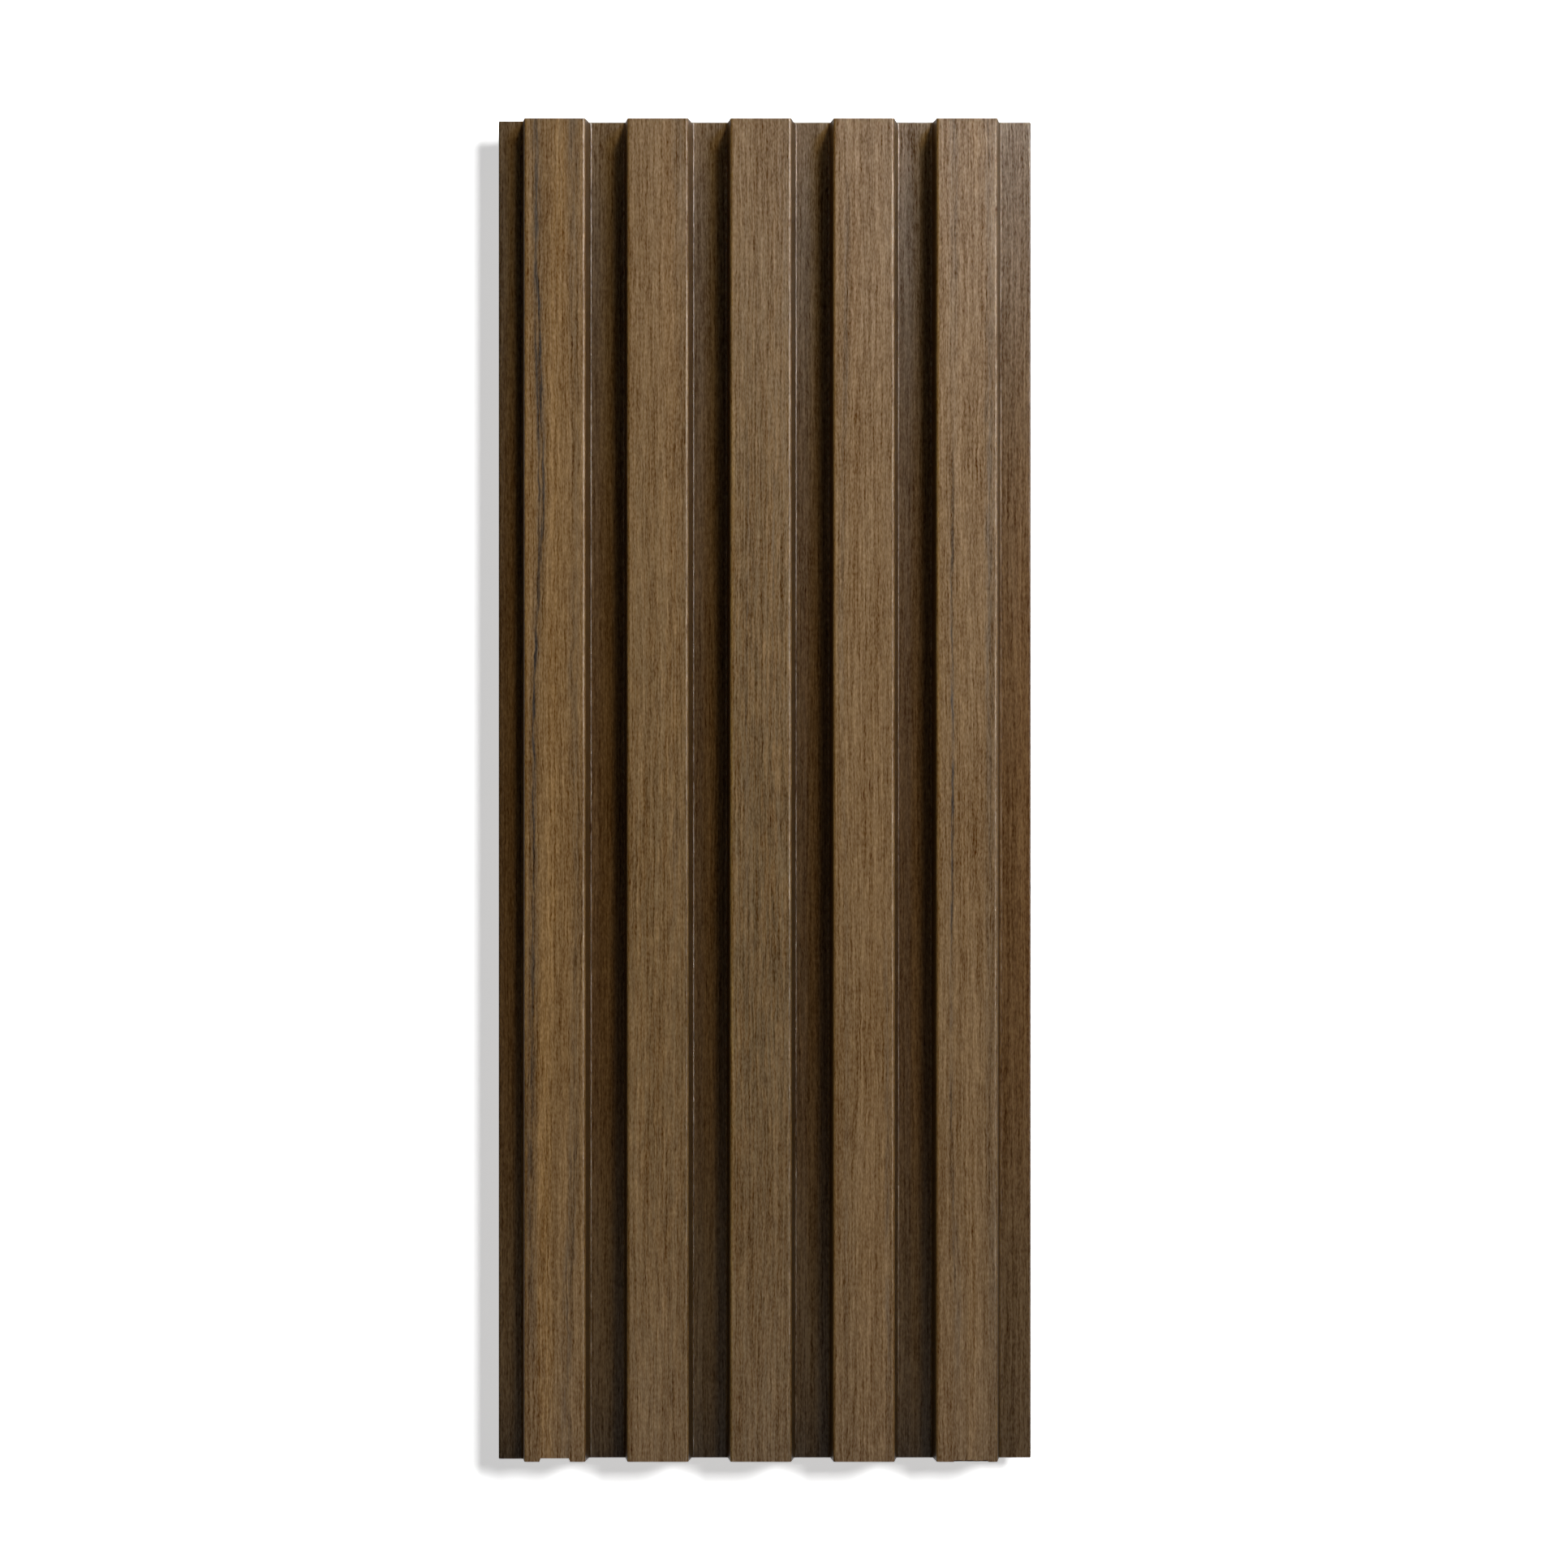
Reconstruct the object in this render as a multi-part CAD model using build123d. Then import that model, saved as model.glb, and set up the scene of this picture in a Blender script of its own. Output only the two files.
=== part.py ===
"""Fluted wall cladding panel: one hollow extruded board with a lap joint along its two long sides.

Millimetres. +Z runs up along the flutes, the front faces -Y, and the back face lies on Y = 0.
The origin is the middle of the back face across the whole width and height of the board.
"""
from build123d import *
import os

# Board
panel_length = 550.0        # cut length, along the flutes
panel_depth = 26.0          # back face to the fronts of the ribs
plate_thickness = 6.5       # back face to the floor of a valley

# Ribs
rib_count = 5
rib_pitch = 42.2            # one rib's centre to the next, also across a joint between two panels
rib_face_width = 25.1       # across a rib's front, to the corners before they are rounded
flank_run = 1.3             # how far each flank leans out between the rib's front and its foot
rib_edge_radius = 1.2       # rounded front edges of a rib
rib_foot_radius = 1.0       # fillet where a flank meets the floor beside it

# Chamber in each rib
front_wall = 4.5
flank_wall = 4.5
back_wall = 5.0
chamber_radius = 2.0

# Lap joint: the cover lip on the left laps over the fixing flange of the next panel
lip_reach = 10.9            # first rib's front edge to the free edge of the lip
lip_thickness = 5.0
flange_reach = 14.2         # last rib's front edge to the free edge of the flange
lap_clearance = 0.5         # between the lip's back and the next panel's flange
expansion_gap = 1.5         # between that flange's free edge and the side of the rebate
free_edge_radius = 0.8      # front corners of the lip and the flange
rebate_radius = 0.6         # inner corner of the rebate behind the lip

# Ends
end_arris = 0.4             # eased outer edge of both sawn ends

# Notch sawn in the foot of the first rib's front wall
sawn_notch_width = 12.7     # at the foot
sawn_notch_height = 1.5
sawn_notch_lean = 0.6       # each side leans in by this much

# Chip worn out of the foot of the last rib's front wall
chip_width = 14.0
chip_height = 0.8
chip_lean = 0.5
chip_depth = 3.0
chip_offset = 1.7           # from the rib's centre line

# Places worked out from the sizes above
panel_width = lip_reach + (rib_count - 1) * rib_pitch + rib_face_width + flange_reach
left_edge = -panel_width / 2
right_edge = panel_width / 2
rib_centres = [left_edge + lip_reach + rib_face_width / 2 + i * rib_pitch for i in range(rib_count)]

front_y = -panel_depth
valley_y = -plate_thickness
lip_back_y = valley_y - lap_clearance
lip_front_y = lip_back_y - lip_thickness
flank_slope = flank_run / (panel_depth - plate_thickness)

next_flange_edge = left_edge + lip_reach - (rib_pitch - rib_face_width) + flange_reach
rebate_side = next_flange_edge + expansion_gap


def half_rib(y):
    """Half the outer width of a rib at depth y, along its leaning flanks."""
    return rib_face_width / 2 + flank_slope * (y - front_y)


def filleted_face(corners):
    """Closed face from (x, y, radius) corners, where a radius of 0 leaves the corner sharp."""
    points = [(x, y) for x, y, _ in corners]
    return make_face(FilletPolyline(*points, radius=[radius for _, _, radius in corners], close=True))


def board_outline():
    """Outer section, from the rebate along the back, then along the front from right to left."""
    corners = [
        (rebate_side, 0, 0),
        (right_edge, 0, 0),
        (right_edge, valley_y, free_edge_radius),
    ]
    for centre in reversed(rib_centres):
        left_floor_y = lip_front_y if centre == rib_centres[0] else valley_y
        corners += [
            (centre + half_rib(valley_y), valley_y, rib_foot_radius),
            (centre + half_rib(front_y), front_y, rib_edge_radius),
            (centre - half_rib(front_y), front_y, rib_edge_radius),
            (centre - half_rib(left_floor_y), left_floor_y, rib_foot_radius),
        ]
    corners += [
        (left_edge, lip_front_y, free_edge_radius),
        (left_edge, lip_back_y, 0),
        (rebate_side, lip_back_y, rebate_radius),
    ]
    return filleted_face(corners)


def chamber_outline(centre):
    """Section of the hollow in one rib, with walls that follow the leaning flanks."""
    inner_front_y = front_y + front_wall
    inner_back_y = -back_wall
    half_front = half_rib(inner_front_y) - flank_wall
    half_back = half_rib(inner_back_y) - flank_wall
    return filleted_face([
        (centre - half_back, inner_back_y, chamber_radius),
        (centre + half_back, inner_back_y, chamber_radius),
        (centre + half_front, inner_front_y, chamber_radius),
        (centre - half_front, inner_front_y, chamber_radius),
    ])


def foot_cut(centre, width, height, lean, depth):
    """Cutter for the foot of a rib, of the given depth behind the rib's front."""
    foot_z = -panel_length / 2
    half_mouth = width / 2
    mouth = Plane.XZ.offset(panel_depth) * filleted_face([
        (centre - half_mouth, foot_z, 0),
        (centre + half_mouth, foot_z, 0),
        (centre + half_mouth - lean, foot_z + height, 0),
        (centre - half_mouth + lean, foot_z + height, 0),
    ])
    return extrude(mouth, -depth)


def cladding_panel():
    """The whole board: eased ends, open chambers and the two cuts at its foot."""
    board = extrude(board_outline(), panel_length / 2, both=True)
    end_edges = board.faces().filter_by(Axis.Z).edges()
    board = chamfer(end_edges, end_arris)
    for centre in rib_centres:
        board -= extrude(chamber_outline(centre), panel_length / 2, both=True)
    through_front_wall = front_wall + chamber_radius
    board -= foot_cut(
        rib_centres[0], sawn_notch_width, sawn_notch_height, sawn_notch_lean, through_front_wall
    )
    board -= foot_cut(rib_centres[-1] + chip_offset, chip_width, chip_height, chip_lean, chip_depth)
    return board


os.makedirs("parts", exist_ok=True)
export_step(cladding_panel(), "parts/cladding_panel.step")
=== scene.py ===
"""Looks of a fluted wall cladding panel: the board's mesh, its wood-grain finish, the stage and the camera.

Metres throughout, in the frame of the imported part: +Z up along the ribs, the ribbed front towards -Y and
the back face on Y = 0.
"""
import logging
import math
from collections.abc import Callable, Iterable
from dataclasses import dataclass, field
from enum import Enum
from typing import Any, ClassVar

import bmesh
import bpy
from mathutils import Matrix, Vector


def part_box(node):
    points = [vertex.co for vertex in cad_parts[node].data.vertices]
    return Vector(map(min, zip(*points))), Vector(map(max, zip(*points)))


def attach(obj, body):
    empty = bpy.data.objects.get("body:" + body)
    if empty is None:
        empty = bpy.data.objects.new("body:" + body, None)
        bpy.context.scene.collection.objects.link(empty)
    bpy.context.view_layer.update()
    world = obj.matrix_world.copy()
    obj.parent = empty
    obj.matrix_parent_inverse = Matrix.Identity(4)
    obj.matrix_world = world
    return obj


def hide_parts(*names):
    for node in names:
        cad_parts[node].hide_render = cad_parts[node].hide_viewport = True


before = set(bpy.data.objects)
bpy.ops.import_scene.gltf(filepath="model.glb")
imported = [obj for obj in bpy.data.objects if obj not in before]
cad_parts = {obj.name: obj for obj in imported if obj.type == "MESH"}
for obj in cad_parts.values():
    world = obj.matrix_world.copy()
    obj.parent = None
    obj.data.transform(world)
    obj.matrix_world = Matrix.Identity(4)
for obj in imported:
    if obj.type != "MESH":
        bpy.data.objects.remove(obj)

log = logging.getLogger("cladding_panel")

MM = 0.001
NODE = "cladding_panel"
CLOSE = 0.02 * MM

Colour = tuple[float, float, float, float]
Point = tuple[float, float, float]
Knots = tuple[tuple[float, float], ...]
Socket = bpy.types.NodeSocket
Source = float | tuple[float, ...] | bpy.types.NodeSocket


def tone(red: int, green: int, blue: int) -> Colour:
    """Linear colour of an 8-bit screen colour.

    Args:
        red: Red from 0 to 255.
        green: Green from 0 to 255.
        blue: Blue from 0 to 255.

    Returns:
        Linear red, green, blue and an alpha of 1.
    """
    def linear(level: int) -> float:
        """Linear value of one screen channel."""
        share = level / 255
        return share / 12.92 if share <= 0.04045 else ((share + 0.055) / 1.055) ** 2.4

    return (linear(red), linear(green), linear(blue), 1.0)


class Pick(Enum):
    """What an edit-mode selection is made of."""

    CORNERS = "VERT"
    EDGES = "EDGE"
    FACES = "FACE"


class Skin(Enum):
    """Finishes of the board, by the place of their material slot."""

    GRAIN = 0
    BACK = 1
    SAWN = 2


class Reach(Enum):
    """What a lamp adds to a surface."""

    ALL = "matt light and gloss"
    MATT = "matt light"
    GLOSS = "gloss"


class Workbench:
    """Edit mode on one mesh, with selections made by place and normal."""

    def __init__(self, piece: bpy.types.Object) -> None:
        """Keeps the piece to work on.

        Args:
            piece: The mesh object that is edited.
        """
        self.piece = piece

    def __enter__(self) -> "Workbench":
        """Selects the piece alone and enters edit mode."""
        select_only(self.piece)
        bpy.ops.object.mode_set(mode="EDIT")
        return self

    def __exit__(self, *_: Any) -> None:
        """Leaves edit mode."""
        bpy.ops.object.mode_set(mode="OBJECT")

    def pick(self, kind: Pick, test: Callable[[Any], bool]) -> int:
        """Selects what passes a test and nothing else.

        Args:
            kind: Corners, edges or faces.
            test: Takes one bmesh element and says whether it is selected.

        Returns:
            How many were selected.
        """
        bpy.ops.mesh.select_mode(type=kind.value)
        bpy.ops.mesh.select_all(action="DESELECT")
        form = bmesh.from_edit_mesh(self.piece.data)
        elements = {Pick.CORNERS: form.verts, Pick.EDGES: form.edges, Pick.FACES: form.faces}[kind]
        found = [element for element in elements if test(element)]
        for element in found:
            element.select_set(True)
        form.select_flush_mode()
        bmesh.update_edit_mesh(self.piece.data)
        return len(found)

    def cut_across(self, x: float) -> None:
        """Cuts the whole mesh by the plane at x, and keeps both sides."""
        bpy.ops.mesh.select_all(action="SELECT")
        bpy.ops.mesh.bisect(plane_co=(x, 0, 0), plane_no=(1, 0, 0))

    def pull(self, step: Point) -> None:
        """Extrudes the selected faces by a step."""
        bpy.ops.mesh.extrude_region_move(TRANSFORM_OT_translate={"value": step})

    def shift_corners(self, test: Callable[[Vector], bool], step: Point) -> None:
        """Moves the corners whose place passes a test.

        Args:
            test: Takes a corner's place and says whether it moves.
            step: The move, in metres.
        """
        self.pick(Pick.CORNERS, lambda corner: test(corner.co))
        bpy.ops.transform.translate(value=step)

    def round_edges(self, test: Callable[[Any], bool], offset: float, segments: int) -> None:
        """Bevels the edges that pass a test.

        Args:
            test: Takes a bmesh edge and says whether it is rounded.
            offset: Distance from the old edge to where the rounding starts.
            segments: Faces across the rounding.
        """
        found = self.pick(Pick.EDGES, test)
        if found == 0:
            raise ValueError("no edge to round at that place")
        bpy.ops.mesh.bevel(offset=offset, offset_type="OFFSET", segments=segments, profile=0.5,
                           affect="EDGES", clamp_overlap=False)

    def merge_flat_faces(self) -> None:
        """Joins faces that lie in one plane, so that each flat is one face."""
        bpy.ops.mesh.select_all(action="SELECT")
        bpy.ops.mesh.dissolve_limited(angle_limit=math.radians(0.05))


def select_only(piece: bpy.types.Object) -> None:
    """Deselects everything, then selects one object and makes it active."""
    bpy.ops.object.select_all(action="DESELECT")
    piece.select_set(True)
    bpy.context.view_layer.objects.active = piece


def new_block(name: str, low: Point, high: Point) -> bpy.types.Object:
    """A cube primitive stretched between two corners, with its place in its mesh.

    Args:
        name: Name of the new object.
        low: Lowest corner.
        high: Highest corner.

    Returns:
        The new mesh object.
    """
    bpy.ops.object.select_all(action="DESELECT")
    middle = [(a + b) / 2 for a, b in zip(low, high)]
    spans = [b - a for a, b in zip(low, high)]
    bpy.ops.mesh.primitive_cube_add(size=1, location=middle, scale=spans)
    block = bpy.context.active_object
    block.name = name
    bpy.ops.object.transform_apply(location=True, rotation=False, scale=True)
    return block


def carve(piece: bpy.types.Object, cutter: bpy.types.Object) -> None:
    """Cuts one mesh out of another and removes the cutter.

    Args:
        piece: The mesh that loses material.
        cutter: The mesh that is cut out and then deleted.
    """
    select_only(piece)
    bpy.ops.object.modifier_add(type="BOOLEAN")
    cut = piece.modifiers[-1]
    cut.operation = "DIFFERENCE"
    cut.solver = "EXACT"
    cut.object = cutter
    bpy.ops.object.modifier_apply(modifier=cut.name)
    bpy.data.objects.remove(cutter, do_unlink=True)


@dataclass
class ShaderBench:
    """Adds and joins the nodes of one tree.

    Attributes:
        tree: The node tree of a material or a world.
    """

    tree: bpy.types.NodeTree

    def add(self, kind: str, inputs: dict[str | int, Source] | None = None,
            **settings: Any) -> bpy.types.Node:
        """Adds a node.

        Args:
            kind: Blender's type name of the node.
            inputs: Value or source socket for each input, by name or number.
            **settings: Properties of the node itself.

        Returns:
            The new node.
        """
        node = self.tree.nodes.new(kind)
        for name, value in settings.items():
            setattr(node, name, value)
        for key, value in (inputs or {}).items():
            self.feed(node.inputs[key], value)
        return node

    def feed(self, socket: Socket, value: Source) -> None:
        """Joins a socket to a source, or sets its constant."""
        if isinstance(value, Socket):
            self.tree.links.new(value, socket)
        else:
            socket.default_value = value

    def maths(self, operation: str, first: Source, second: Source = 0.0, clamp: bool = False) -> Socket:
        """One arithmetic step.

        Args:
            operation: Blender's name of the operation.
            first: First value or socket.
            second: Second value or socket.
            clamp: Whether the result is held between 0 and 1.

        Returns:
            The result's socket.
        """
        step = self.add("ShaderNodeMath", {0: first, 1: second}, operation=operation, use_clamp=clamp)
        return step.outputs[0]

    def vector(self, operation: str, *values: Source) -> Socket:
        """One step of vector arithmetic.

        Args:
            operation: Blender's name of the operation.
            *values: Vectors or sockets.

        Returns:
            The result's socket.
        """
        return self.add("ShaderNodeVectorMath", dict(enumerate(values)), operation=operation).outputs[0]

    def ease(self, value: Source, start: float, end: float, low: Source = 0.0, high: Source = 1.0) -> Socket:
        """Smooth step of a value.

        Args:
            value: The value or socket that is read.
            start: Where the step begins.
            end: Where the step ends.
            low: Result at the start, or its socket.
            high: Result at the end, or its socket.

        Returns:
            The result's socket.
        """
        step = self.add("ShaderNodeMapRange", interpolation_type="SMOOTHSTEP")
        limits = {"Value": value, "From Min": start, "From Max": end, "To Min": low, "To Max": high}
        for name, number in limits.items():
            self.feed(step.inputs[name], number)
        return step.outputs["Result"]

    def ramp(self, value: Source, start: float, end: float) -> Socket:
        """Share from 0 at the start to 1 at the end, in a straight line.

        Args:
            value: The value or socket that is read.
            start: Where the share is 0.
            end: Where the share is 1.

        Returns:
            The share's socket.
        """
        step = self.add("ShaderNodeMapRange", {"Value": value, "From Min": start, "From Max": end})
        return step.outputs["Result"]

    def curve(self, value: Source, knots: Knots) -> Socket:
        """Smooth curve through knots.

        Args:
            value: The share that is read.
            knots: Pairs of share and result, both from 0 to 1.

        Returns:
            The result's socket.
        """
        node = self.add("ShaderNodeFloatCurve", {"Value": value})
        node.mapping.extend = "HORIZONTAL"
        points = node.mapping.curves[0].points
        points[0].location = knots[0]
        points[-1].location = knots[-1]
        for knot in knots[1:-1]:
            points.new(*knot)
        node.mapping.update()
        return node.outputs["Value"]

    def blend(self, share: Source, first: Source, second: Source, mode: str = "MIX") -> Socket:
        """Mix of two colours.

        Args:
            share: How much of the second colour shows.
            first: First colour or socket.
            second: Second colour or socket.
            mode: Blender's name of the blend.

        Returns:
            The mixed colour's socket.
        """
        mixer = self.add("ShaderNodeMix", data_type="RGBA", blend_type=mode)
        colours = [socket for socket in mixer.inputs if socket.type == "RGBA"]
        self.feed(mixer.inputs["Factor"], share)
        self.feed(colours[0], first)
        self.feed(colours[1], second)
        return next(socket for socket in mixer.outputs if socket.type == "RGBA")

    def noise(self, vector: Socket, detail: float = 2.0, roughness: float = 0.5) -> Socket:
        """Noise at one cell a unit of the vector.

        Args:
            vector: Place that the noise reads, already scaled.
            detail: Octaves of finer noise.
            roughness: Strength of the finer noise.

        Returns:
            The noise value's socket, about 0.5 on average.
        """
        source = {"Vector": vector, "Scale": 1.0, "Detail": detail, "Roughness": roughness, "Distortion": 0.0}
        return self.add("ShaderNodeTexNoise", source, noise_dimensions="3D").outputs["Fac"]

    def stretch(self, vector: Socket, across: float, along: float, offset: float = 0.0) -> Socket:
        """Scales a place for a grain that runs along Z.

        Args:
            vector: The place.
            across: Cells a metre across the grain.
            along: Cells a metre along the grain.
            offset: Shift of the pattern, in cells.

        Returns:
            The scaled place's socket.
        """
        scaled = self.vector("MULTIPLY", vector, (across, across, along))
        return self.vector("ADD", scaled, (offset, offset, offset))


def clear_bench(owner: bpy.types.Material | bpy.types.World) -> ShaderBench:
    """Bench of an emptied node tree.

    Args:
        owner: The material or world that has the tree.

    Returns:
        The bench.
    """
    owner.use_nodes = True
    owner.node_tree.nodes.clear()
    return ShaderBench(owner.node_tree)


def new_material(name: str) -> tuple[bpy.types.Material, ShaderBench, bpy.types.Node]:
    """A node material with a bare shader.

    Args:
        name: Name of the material.

    Returns:
        The material, the bench of its tree and its principled shader.
    """
    material = bpy.data.materials.new(name)
    bench = clear_bench(material)
    shader = bench.add("ShaderNodeBsdfPrincipled")
    bench.add("ShaderNodeOutputMaterial", {"Surface": shader.outputs["BSDF"]})
    return material, bench, shader


@dataclass(frozen=True)
class Streak:
    """One long streak of the grain on a rib.

    Attributes:
        rib: The rib it lies on, counted from the left and from 0.
        width: Full width, out to where it has faded.
        tint: Its colour.
        knots: Places along it, from the top down: drop below the top as a share of the height, place across
            the rib's front as a share of its width, and strength.
    """

    rib: int
    width: float
    tint: Colour
    knots: tuple[tuple[float, float, float], ...]


@dataclass(frozen=True)
class FibreLayer:
    """One noise of the grain.

    Attributes:
        across: Cells a metre across the grain.
        along: Cells a metre along the grain.
        offset: Shift of the pattern, in cells.
        detail: Octaves of finer noise.
        weight: Share in the swing of the lightness.
    """

    across: float
    along: float
    offset: float = 0.0
    detail: float = 0.0
    weight: float = 0.0

    def lay(self, bench: ShaderBench, place: Socket) -> Socket:
        """The noise's socket, read at a place with the fibres' drift."""
        return bench.noise(bench.stretch(place, self.across, self.along, self.offset), detail=self.detail)


@dataclass(frozen=True)
class Spot:
    """The place on the board that a shader works on.

    Attributes:
        bench: The material's bench.
        board: The board.
        x: Place across the board.
        y: Depth.
        drop: Drop below the top, as a share of the height.
    """

    bench: ShaderBench
    board: "FlutedBoard"
    x: Socket
    y: Socket
    drop: Socket


@dataclass(frozen=True)
class GrainFinish:
    """Walnut wood grain on the front of the board, satin and lightly embossed, with painted shade that
    darkens the flanks, valley floors, lip and flange and warms their hue.

    Attributes:
        body: Main brown.
        golden: Warm bands.
        floor_shade: Painted shade: share of the brown that is left on the valley floors, by drop below the
            top.
        flank: Painted shade: share of the brown that is left on the flanks, by drop below the top.
        flange: Painted shade: share of the brown that is left on the fixing flange.
        lip: Painted shade: share of the floors' brown that is left on the cover lip.
        streaks: Long streaks of their own colour.
        dashes: Short fine marks.
        fibres: Longer fine marks.
        threads: Long fine lines.
        bands: Slow bands along the whole board.
        breaks: Marks that fray the streaks.
        cast: How strongly a fibre's lightness moves red, green and blue.
        painted_tint_off: How far the floors are left without the painted warm shade tint, by drop below the
            top.
        flank_painted_tint_off: How far the flanks are left without it.
        painted_shade_tint: Painted warm shade tint: factor on the colour of floors and flanks where it isn't
            left off.
        gloss: Middle gloss of the rib fronts.
        gloss_swing: How far the fibres' lightness moves the gloss.
        flank_gloss: Share of the gloss that is left on the flanks.
        floor_gloss: Share of the gloss that is left on the valley floors, the lip and the flange, by drop.
        fillet_gloss: Extra share of the gloss on the fillets beside the valley floors.
        roughness: Middle roughness of the embossed front.
        edge_roughness: Roughness of the rounded edges, rubbed smooth.
        emboss: Height of the embossed fibres.
        relief: Strength of the embossing.
    """

    body: Colour
    golden: Colour
    floor_shade: Knots
    flank: Knots
    flange: float
    lip: float
    streaks: tuple[Streak, ...]
    dashes: FibreLayer = FibreLayer(2200, 650, weight=0.88)
    fibres: FibreLayer = FibreLayer(2000, 150, offset=2.7, weight=0.85)
    threads: FibreLayer = FibreLayer(1600, 20, offset=3.1, weight=0.82)
    bands: FibreLayer = FibreLayer(130, 2.2, offset=7.7, detail=1.0, weight=0.12)
    breaks: FibreLayer = FibreLayer(1300, 70, offset=9.1, detail=1.0)
    cast: Point = (1.0, 1.24, 1.72)
    painted_tint_off: Knots = ((0.0, 1.0), (0.12, 0.8), (0.32, 0.25), (0.50, 0.0), (0.68, 0.0), (0.88, 0.9), (1.0, 1.0))
    flank_painted_tint_off: float = 0.3
    painted_shade_tint: Point = (1.0, 0.87, 0.66)
    gloss: float = 0.5
    gloss_swing: float = 0.8
    flank_gloss: float = 0.10
    floor_gloss: Knots = ((0.0, 0.9), (0.12, 0.7), (0.35, 0.45), (0.65, 0.4), (0.90, 0.5), (1.0, 0.5))
    fillet_gloss: float = 1.6
    roughness: float = 0.36
    edge_roughness: float = 0.30
    emboss: float = 0.03 * MM
    relief: float = 0.35

    def make(self, board: "FlutedBoard") -> bpy.types.Material:
        """Builds the material.

        Args:
            board: The board, for the places of its ribs.

        Returns:
            The wood-grain material, on Object coordinates.
        """
        material, bench, shader = new_material("walnut_grain")
        place = bench.add("ShaderNodeTexCoord").outputs["Object"]
        x, y, z = bench.add("ShaderNodeSeparateXYZ", {0: place}).outputs
        spot = Spot(bench, board, x, y, bench.ramp(z, board.high.z, board.low.z))
        bent_x = bench.maths("ADD", x, self._wander(bench, place))
        bent = bench.add("ShaderNodeCombineXYZ", {0: bent_x, 1: y, 2: z}).outputs[0]
        layers = (self.dashes, self.fibres, self.threads, self.bands, self.breaks)
        noises = {layer: layer.lay(bench, bent) for layer in layers}
        swing = self._swing(bench, noises)

        colour = bench.blend(bench.ease(noises[self.bands], 0.40, 0.70, 0.0, 0.8), self.body, self.golden)
        for streak in self.streaks:
            colour = self._lay_streak(spot, streak, colour, bent_x, noises[self.breaks])
        bench.feed(shader.inputs["Base Color"], self._shaded(spot, colour, swing))
        bench.feed(shader.inputs["Specular IOR Level"], self._glossed(spot, swing))

        worn = bench.add("ShaderNodeAttribute", attribute_name=FlutedBoard.WORN).outputs["Fac"]
        rough = bench.ease(noises[self.fibres], 0.25, 0.75, self.roughness + 0.03, self.roughness - 0.03)
        rubbed = bench.maths("MULTIPLY", worn, self.edge_roughness - self.roughness)
        bench.feed(shader.inputs["Roughness"], bench.maths("ADD", rough, rubbed))
        height = bench.maths("ADD", noises[self.dashes], bench.maths("MULTIPLY", noises[self.fibres], 0.7))
        strength = bench.maths("MULTIPLY", bench.maths("SUBTRACT", 1.0, worn), self.relief)
        bump = bench.add("ShaderNodeBump", {"Strength": strength, "Distance": self.emboss, "Height": height})
        bench.feed(shader.inputs["Normal"], bump.outputs["Normal"])
        return material

    def _wander(self, bench: ShaderBench, place: Socket) -> Socket:
        """Sideways drift of the fibres: a slow sway and a quick crinkle.

        Args:
            bench: The material's bench.
            place: Object coordinates.

        Returns:
            The drift in metres.
        """
        sway = bench.maths("SUBTRACT", bench.noise(bench.stretch(place, 24, 6), detail=1.0), 0.5)
        crinkle = bench.maths("SUBTRACT", bench.noise(bench.stretch(place, 330, 170, 5.0), detail=1.0), 0.5)
        slow = bench.maths("MULTIPLY", sway, 4.0 * MM)
        quick = bench.maths("MULTIPLY", crinkle, 1.1 * MM)
        return bench.maths("ADD", slow, quick)

    def _swing(self, bench: ShaderBench, noises: dict[FibreLayer, Socket]) -> Socket:
        """Swing of the lightness around 0, from the layers that have a weight.

        Args:
            bench: The material's bench.
            noises: Noise of each layer.

        Returns:
            The swing's socket.
        """
        total: Source = 0.0
        for layer, noise in noises.items():
            if layer.weight:
                part = bench.maths("MULTIPLY", bench.maths("SUBTRACT", noise, 0.5), layer.weight)
                total = bench.maths("ADD", part, total)
        return total

    def _shaded(self, spot: Spot, colour: Socket, swing: Socket) -> Socket:
        """Colour with its fibres and painted shade: darker on the flanks, the floors, the lip and the flange,
        with a painted warm tint on the flanks and the floors.

        Args:
            spot: The place on the board.
            colour: Colour of the bands and streaks.
            swing: Swing of the lightness.

        Returns:
            The finished colour's socket.
        """
        bench, board = spot.bench, spot.board
        reach = board.foot_radius
        # Painted shade: the floors, lip, flange and flanks keep only a share of the brown, set by height.
        floor_shade = bench.curve(spot.drop, self.floor_shade)
        inner = bench.ease(spot.x, board.flange_side - reach, board.flange_side + reach, floor_shade, self.flange)
        on_lip = bench.ease(spot.x, board.lip_side - reach, board.lip_side, self.lip, 1.0)
        floor = bench.maths("MULTIPLY", inner, on_lip)
        depth = self._by_zone(spot, bench.curve(spot.drop, self.flank), floor)
        # Painted warm shade tint on the flanks, and on the floors at mid-height.
        painted_tint_off = self._by_zone(spot, self.flank_painted_tint_off, bench.curve(spot.drop, self.painted_tint_off))
        warm = bench.blend(1.0, colour, (*self.painted_shade_tint, 1.0), "MULTIPLY")
        hue = bench.blend(painted_tint_off, warm, colour)
        return bench.blend(1.0, hue, self._light(bench, swing, depth), "MULTIPLY")

    def _light(self, bench: ShaderBench, swing: Socket, depth: Socket) -> Socket:
        """Factor on the colour: dark fibres are richer in hue, pale ones greyer.

        Args:
            bench: The material's bench.
            swing: Swing of the lightness.
            depth: Share of the brown that is left at the place, which carries the painted shade.

        Returns:
            The factor of red, green and blue.
        """
        stirred = bench.maths("MULTIPLY", swing, depth)
        factor = bench.vector("MULTIPLY_ADD", stirred, self.cast, depth)
        return bench.vector("MAXIMUM", factor, (0.08, 0.08, 0.08))

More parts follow.
